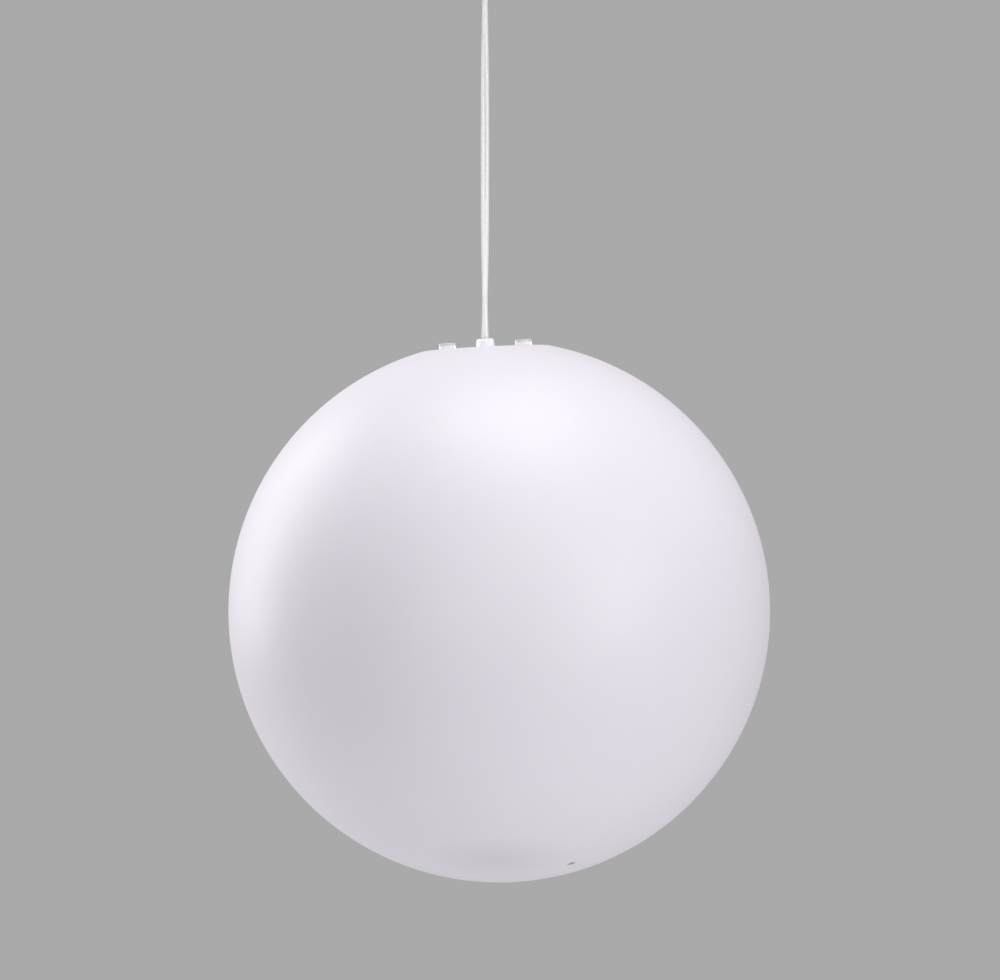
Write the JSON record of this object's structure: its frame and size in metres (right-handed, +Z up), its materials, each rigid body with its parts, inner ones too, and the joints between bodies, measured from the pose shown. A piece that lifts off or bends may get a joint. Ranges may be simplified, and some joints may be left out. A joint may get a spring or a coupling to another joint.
{
  "type": "globe pendant light",
  "caption": "Large white opal globe that hangs on a flat clear cord from a ceiling cup; its lid, held by clear coin screws, carries a screw lampholder and lamp.",
  "frame": {"origin": "centre of the ceiling cup's rim and of the bracket's feet, in the ceiling plane that the fitting is screwed to; everything hangs below it", "axes": "+Z up, out of the ceiling face; +X along the line of the ceiling slots and of the two cover screws, to the right in the picture; +Y away from the camera"},
  "size_m": [0.3999, 0.3998, 0.7404],
  "materials": {
    "opal_polyethylene": "satin",
    "lid_white": "satin",
    "cup_white": "satin",
    "clear_plastic": "gloss",
    "cord_clear": "gloss",
    "seal_rubber": "matte",
    "zinc_steel": "satin",
    "brass": "satin",
    "block_plastic": "satin",
    "holder_white": "satin",
    "steatite": "matte",
    "solder_brass": "satin",
    "black_glass": "gloss",
    "nickel_shell": "satin",
    "lamp_white": "satin",
    "lamp_opal": "satin",
    "led_aluminium": "satin",
    "led_phosphor": "satin",
    "board_green": "satin"
  },
  "bodies": {
    "ceiling": {"ceiling_bracket": "zinc_steel", "ceiling_cup": "cup_white", "ceiling_nipple": "zinc_steel", "ceiling_locknut": "zinc_steel", "ceiling_gland_washer": "clear_plastic", "ceiling_gland_seal": "seal_rubber", "ceiling_gland_nut": "clear_plastic", "ceiling_cord_tail": "cord_clear", "ceiling_core_live": "cord_clear", "ceiling_core_neutral": "cord_clear", "terminal_block": "block_plastic", "terminal_tubes": "brass", "terminal_block_screws": "zinc_steel"},
    "upper_cord": {"cord_head": "cord_clear"},
    "cord": {"cord_run": "cord_clear"},
    "lower_cord": {"cord_foot": "cord_clear"},
    "lid": {"lid_plate": "lid_white", "lid_gasket": "seal_rubber", "lid_gland_washer": "clear_plastic", "lid_gland_seal": "seal_rubber", "lid_gland_nut": "clear_plastic", "lid_nipple": "zinc_steel", "lid_plate_washer": "zinc_steel", "lid_locknut": "zinc_steel", "lid_cord_tail": "cord_clear", "lamp_core_live": "cord_clear", "lamp_core_neutral": "cord_clear", "holder_cap": "holder_white", "holder_sleeve": "holder_white", "contact_carrier": "steatite", "holder_terminals": "brass", "holder_terminal_screws": "zinc_steel", "screw_shell": "brass", "centre_contact": "brass"},
    "globe": {"globe_shell": "opal_polyethylene", "thread_insert_left": "brass", "thread_insert_right": "brass"},
    "left_washer": {"screw_washer_left": "clear_plastic"},
    "left_screw": {"cover_screw_left": "clear_plastic"},
    "right_washer": {"screw_washer_right": "clear_plastic"},
    "right_screw": {"cover_screw_right": "clear_plastic"},
    "lamp_contact": {"lamp_tip": "solder_brass"},
    "lamp": {"lamp_insulator": "black_glass", "lamp_shell": "nickel_shell", "lamp_housing": "lamp_white", "lamp_diffuser": "lamp_opal", "led_post": "led_aluminium", "led_chips": "led_phosphor", "driver_board": "board_green"}
  },
  "joints": [
    {"name": "swing_fore", "type": "hinge", "parent": "ceiling", "child": "upper_cord", "pos_m": [0, 0, -0.0393], "axis": [1, 0, 0], "range_deg": [-15, 15]},
    {"name": "swing_side", "type": "hinge", "parent": "upper_cord", "child": "cord", "pos_m": [0, 0, -0.0516], "axis": [0, 1, 0], "range_deg": [-15, 15]},
    {"name": "globe_turn", "type": "hinge", "parent": "cord", "child": "lower_cord", "pos_m": [0, 0, -0.3264], "axis": [0, 0, 1], "range_deg": [-180, 180]},
    {"name": "globe_tilt", "type": "hinge", "parent": "lower_cord", "child": "lid", "pos_m": [0, 0, -0.3387], "axis": [0, 1, 0], "range_deg": [-5, 11]},
    {"name": "globe_lower", "type": "slide", "parent": "lid", "child": "globe", "axis": [0.0523, 0, -0.9986], "range_m": [0, 0.2]},
    {"name": "lamp_travel", "type": "slide", "parent": "lid", "child": "lamp_contact", "axis": [0.0523, 0, -0.9986], "range_m": [0, 0.01815]},
    {"name": "lamp_turn", "type": "hinge", "parent": "lamp_contact", "child": "lamp", "pos_m": [0.00352, 0, -0.40591], "axis": [0.0523, 0, -0.9986], "range_deg": [0, 1800]},
    {"name": "left_screw_rise", "type": "slide", "parent": "lid", "child": "left_washer", "axis": [-0.0523, 0, 0.9986], "range_m": [0, 0.0096]},
    {"name": "left_screw_turn", "type": "hinge", "parent": "left_washer", "child": "left_screw", "pos_m": [-0.02784, 0, -0.34447], "axis": [-0.0523, 0, 0.9986], "range_deg": [0, 4320]},
    {"name": "right_screw_rise", "type": "slide", "parent": "lid", "child": "right_washer", "axis": [-0.0523, 0, 0.9986], "range_m": [0, 0.0096]},
    {"name": "right_screw_turn", "type": "hinge", "parent": "right_washer", "child": "right_screw", "pos_m": [0.02829, 0, -0.34152], "axis": [-0.0523, 0, 0.9986], "range_deg": [0, 4320]}
  ],
  "couplings": [
    {"joint": "lamp_travel", "follows": "lamp_turn", "m_per_rad": 0.00057773},
    {"joint": "left_screw_turn", "follows": "left_screw_rise", "rad_per_m": 7854},
    {"joint": "right_screw_turn", "follows": "right_screw_rise", "rad_per_m": 7854}
  ]
}
